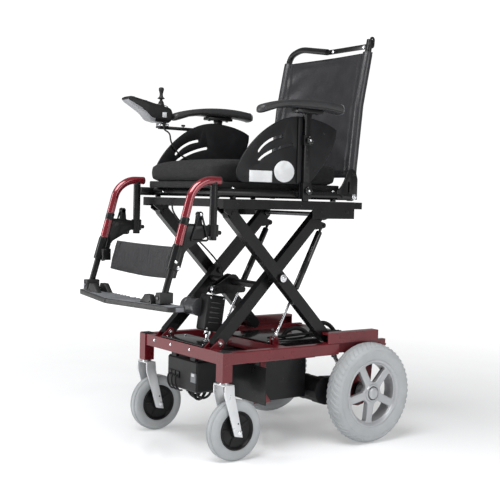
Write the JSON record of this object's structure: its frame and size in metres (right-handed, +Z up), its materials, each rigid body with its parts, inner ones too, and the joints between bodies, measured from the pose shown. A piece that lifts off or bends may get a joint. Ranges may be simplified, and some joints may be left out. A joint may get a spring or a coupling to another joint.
{
  "type": "elevating power wheelchair",
  "caption": "Power wheelchair whose seat rises on a scissor lift, with swing-away footrests, a reclining back, sliding armrests and a joystick",
  "frame": {"origin": "on the floor, under the middle of the chair's bounding box", "axes": "+Z up, the chair faces -Y, the occupant's left is +X"},
  "size_m": [0.652, 1.0774, 1.4371],
  "materials": {
    "black_cloth": "matte woven",
    "black_plastic": "fine grain",
    "black_rubber": "matt",
    "black_steel": "satin powder coat",
    "bright_steel": "plated, bright",
    "dark_vinyl": "semi-matt vinyl",
    "grey_plastic": "fine grain",
    "grey_tyre": "mid grey, non-marking",
    "red_steel": "dark metallic red, glossy",
    "rim_silver": "silver, cast"
  },
  "bodies": {
    "chassis": {"base_frame": "red_steel", "battery_tray": "black_steel", "battery_left": "black_plastic", "battery_right": "black_plastic", "deck_cover": "black_plastic", "rear_cover": "black_plastic", "control_box": "black_plastic", "motor_left": "black_plastic", "motor_right": "black_plastic"},
    "freewheel_left": {"freewheel_lever_left": "bright_steel"},
    "drive_wheel_left": {"drive_tyre_left": "grey_tyre", "drive_rim_left": "rim_silver"},
    "caster_swivel_left": {"caster_fork_left": "bright_steel"},
    "caster_wheel_left": {"caster_tyre_left": "grey_tyre", "caster_hub_left": "black_plastic"},
    "freewheel_right": {"freewheel_lever_right": "bright_steel"},
    "drive_wheel_right": {"drive_tyre_right": "grey_tyre", "drive_rim_right": "rim_silver"},
    "caster_swivel_right": {"caster_fork_right": "bright_steel"},
    "caster_wheel_right": {"caster_tyre_right": "grey_tyre", "caster_hub_right": "black_plastic"},
    "inner_arms": {"inner_arm_frame": "black_steel", "upper_roller_axle": "bright_steel"},
    "outer_arms": {"outer_arm_left": "black_steel", "outer_arm_right": "black_steel"},
    "gas_rods": {"gas_rod_left": "bright_steel", "gas_rod_right": "bright_steel"},
    "gas_tubes": {"gas_tube_left": "black_steel", "gas_tube_right": "black_steel"},
    "actuator_rod": {"actuator_rod": "bright_steel"},
    "actuator_housing": {"actuator_housing": "black_plastic"},
    "seat": {"lift_frame": "black_steel", "seat_frame": "black_steel", "seat_cushion": "black_cloth", "side_panel_left": "black_plastic", "side_panel_right": "black_plastic", "lift_cable": "black_rubber"},
    "backrest": {"back_cane_left": "black_steel", "back_cane_right": "black_steel", "back_upholstery": "dark_vinyl"},
    "armrest_left": {"arm_pad_left": "black_rubber", "arm_post_left": "black_steel"},
    "armrest_right": {"arm_pad_right": "black_rubber", "arm_post_right": "black_steel"},
    "controller": {"controller_arm": "black_steel", "controller_housing": "black_plastic", "controller_cable": "black_rubber"},
    "joystick_gimbal": {"joystick_ring": "black_plastic"},
    "joystick": {"joystick_stick": "black_plastic"},
    "power_button": {"power_button": "grey_plastic"},
    "hanger_left": {"hanger_left": "red_steel", "calf_strap_left": "black_cloth"},
    "release_lever_left": {"release_lever_left": "bright_steel"},
    "leg_left": {"leg_tube_left": "black_steel"},
    "footplate_left": {"footplate_left": "grey_plastic"},
    "hanger_right": {"hanger_right": "red_steel", "calf_strap_right": "black_cloth"},
    "release_lever_right": {"release_lever_right": "bright_steel"},
    "leg_right": {"leg_tube_right": "black_steel"},
    "footplate_right": {"footplate_right": "grey_plastic"}
  },
  "joints": [
    {"name": "drive_wheel_left", "type": "hinge", "parent": "chassis", "child": "drive_wheel_left", "pos_m": [0.289, 0.36125, 0.1775], "axis": [1, 0, 0], "continuous": true},
    {"name": "freewheel_left", "type": "hinge", "parent": "chassis", "child": "freewheel_left", "pos_m": [0.2122, 0.30425, 0.25], "axis": [1, 0, 0], "range_deg": [0, 35]},
    {"name": "caster_swivel_left", "type": "hinge", "parent": "chassis", "child": "caster_swivel_left", "pos_m": [0.248, -0.23375, 0.28], "axis": [0, 0, 1], "continuous": true},
    {"name": "caster_wheel_left", "type": "hinge", "parent": "caster_swivel_left", "child": "caster_wheel_left", "pos_m": [0.248, -0.19075, 0.1], "axis": [1, 0, 0], "continuous": true},
    {"name": "drive_wheel_right", "type": "hinge", "parent": "chassis", "child": "drive_wheel_right", "pos_m": [-0.289, 0.36125, 0.1775], "axis": [1, 0, 0], "continuous": true},
    {"name": "freewheel_right", "type": "hinge", "parent": "chassis", "child": "freewheel_right", "pos_m": [-0.2122, 0.30425, 0.25], "axis": [1, 0, 0], "range_deg": [0, 35]},
    {"name": "caster_swivel_right", "type": "hinge", "parent": "chassis", "child": "caster_swivel_right", "pos_m": [-0.248, -0.23375, 0.28], "axis": [0, 0, 1], "continuous": true},
    {"name": "caster_wheel_right", "type": "hinge", "parent": "caster_swivel_right", "child": "caster_wheel_right", "pos_m": [-0.248, -0.19075, 0.1], "axis": [1, 0, 0], "continuous": true},
    {"name": "lift", "type": "hinge", "parent": "chassis", "child": "inner_arms", "pos_m": [0, -0.20375, 0.373], "axis": [1, 0, 0], "range_deg": [-23.2, 0]},
    {"name": "scissor", "type": "hinge", "parent": "inner_arms", "child": "outer_arms", "pos_m": [0, 0.00612, 0.58807], "axis": [1, 0, 0], "range_deg": [0, 46.41]},
    {"name": "seat_level", "type": "hinge", "parent": "outer_arms", "child": "seat", "pos_m": [0, -0.20375, 0.80313], "axis": [1, 0, 0], "range_deg": [-23.21, 0], "deforming": ["lift_cable"]},
    {"name": "gas_rod", "type": "hinge", "parent": "chassis", "child": "gas_rods", "pos_m": [0, 0.03625, 0.371], "axis": [1, 0, 0], "range_deg": [-31.88, 0]},
    {"name": "gas_tube", "type": "hinge", "parent": "inner_arms", "child": "gas_tubes", "pos_m": [0, 0.23705, 0.76414], "axis": [1, 0, 0], "range_deg": [-8.68, 0]},
    {"name": "actuator_rod", "type": "hinge", "parent": "chassis", "child": "actuator_rod", "pos_m": [-0.035, -0.12875, 0.25], "axis": [1, 0, 0], "range_deg": [-14.49, 0]},
    {"name": "actuator_housing", "type": "hinge", "parent": "inner_arms", "child": "actuator_housing", "pos_m": [-0.035, -0.08875, 0.53], "axis": [1, 0, 0], "range_deg": [0, 8.73]},
    {"name": "recline", "type": "hinge", "parent": "seat", "child": "backrest", "pos_m": [0, 0.30325, 0.86803], "axis": [-1, 0, 0], "range_deg": [0, 25]},
    {"name": "armrest_height_left", "type": "slide", "parent": "seat", "child": "armrest_left", "axis": [0, 0, 1], "range_m": [0, 0.05]},
    {"name": "armrest_height_right", "type": "slide", "parent": "seat", "child": "armrest_right", "axis": [0, 0, 1], "range_m": [0, 0.05]},
    {"name": "controller_reach", "type": "slide", "parent": "armrest_right", "child": "controller", "axis": [0, -1, 0], "range_m": [0, 0.05]},
    {"name": "joystick_pitch", "type": "hinge", "parent": "controller", "child": "joystick_gimbal", "pos_m": [-0.281, -0.17575, 1.17203], "axis": [1, 0, 0], "range_deg": [-15, 15], "stiffness_Nm_per_rad": 0.4},
    {"name": "joystick_roll", "type": "hinge", "parent": "joystick_gimbal", "child": "joystick", "pos_m": [-0.281, -0.17575, 1.17203], "axis": [0, 1, 0], "range_deg": [-15, 15], "stiffness_Nm_per_rad": 0.4},
    {"name": "power_press", "type": "slide", "parent": "controller", "child": "power_button", "axis": [0, -0.1812, -0.9835], "range_m": [0, 0.0012], "stiffness_N_per_m": 400},
    {"name": "hanger_swing_left", "type": "hinge", "parent": "seat", "child": "hanger_left", "pos_m": [0.245, -0.28875, 0.8], "axis": [0, 0, 1], "range_deg": [0, 90]},
    {"name": "release_left", "type": "hinge", "parent": "hanger_left", "child": "release_lever_left", "pos_m": [0.2555, -0.34375, 0.8], "axis": [1, 0, 0], "range_deg": [-12, 0], "stiffness_Nm_per_rad": 0.05},
    {"name": "leg_length_left", "type": "slide", "parent": "hanger_left", "child": "leg_left", "axis": [0, -0.2807, -0.9598], "range_m": [-0.06, 0.04]},
    {"name": "footplate_fold_left", "type": "hinge", "parent": "leg_left", "child": "footplate_left", "pos_m": [0.205, -0.46176, 0.52853], "axis": [0, 1, 0], "range_deg": [0, 85]},
    {"name": "hanger_swing_right", "type": "hinge", "parent": "seat", "child": "hanger_right", "pos_m": [-0.245, -0.28875, 0.8], "axis": [0, 0, 1], "range_deg": [-90, 0]},
    {"name": "release_right", "type": "hinge", "parent": "hanger_right", "child": "release_lever_right", "pos_m": [-0.2555, -0.34375, 0.8], "axis": [1, 0, 0], "range_deg": [-12, 0], "stiffness_Nm_per_rad": 0.05},
    {"name": "leg_length_right", "type": "slide", "parent": "hanger_right", "child": "leg_right", "axis": [0, -0.2807, -0.9598], "range_m": [-0.06, 0.04]},
    {"name": "footplate_fold_right", "type": "hinge", "parent": "leg_right", "child": "footplate_right", "pos_m": [-0.205, -0.46176, 0.52853], "axis": [0, 1, 0], "range_deg": [-85, 0]}
  ],
  "couplings": [
    {"joint": "scissor", "follows": "lift", "ratio": -2},
    {"joint": "seat_level", "follows": "lift", "ratio": 1},
    {"joint": "gas_rod", "follows": "lift", "ratio": 1.3735},
    {"joint": "gas_tube", "follows": "lift", "ratio": 0.3735},
    {"joint": "actuator_rod", "follows": "lift", "ratio": 0.624},
    {"joint": "actuator_housing", "follows": "lift", "ratio": -0.376}
  ]
}
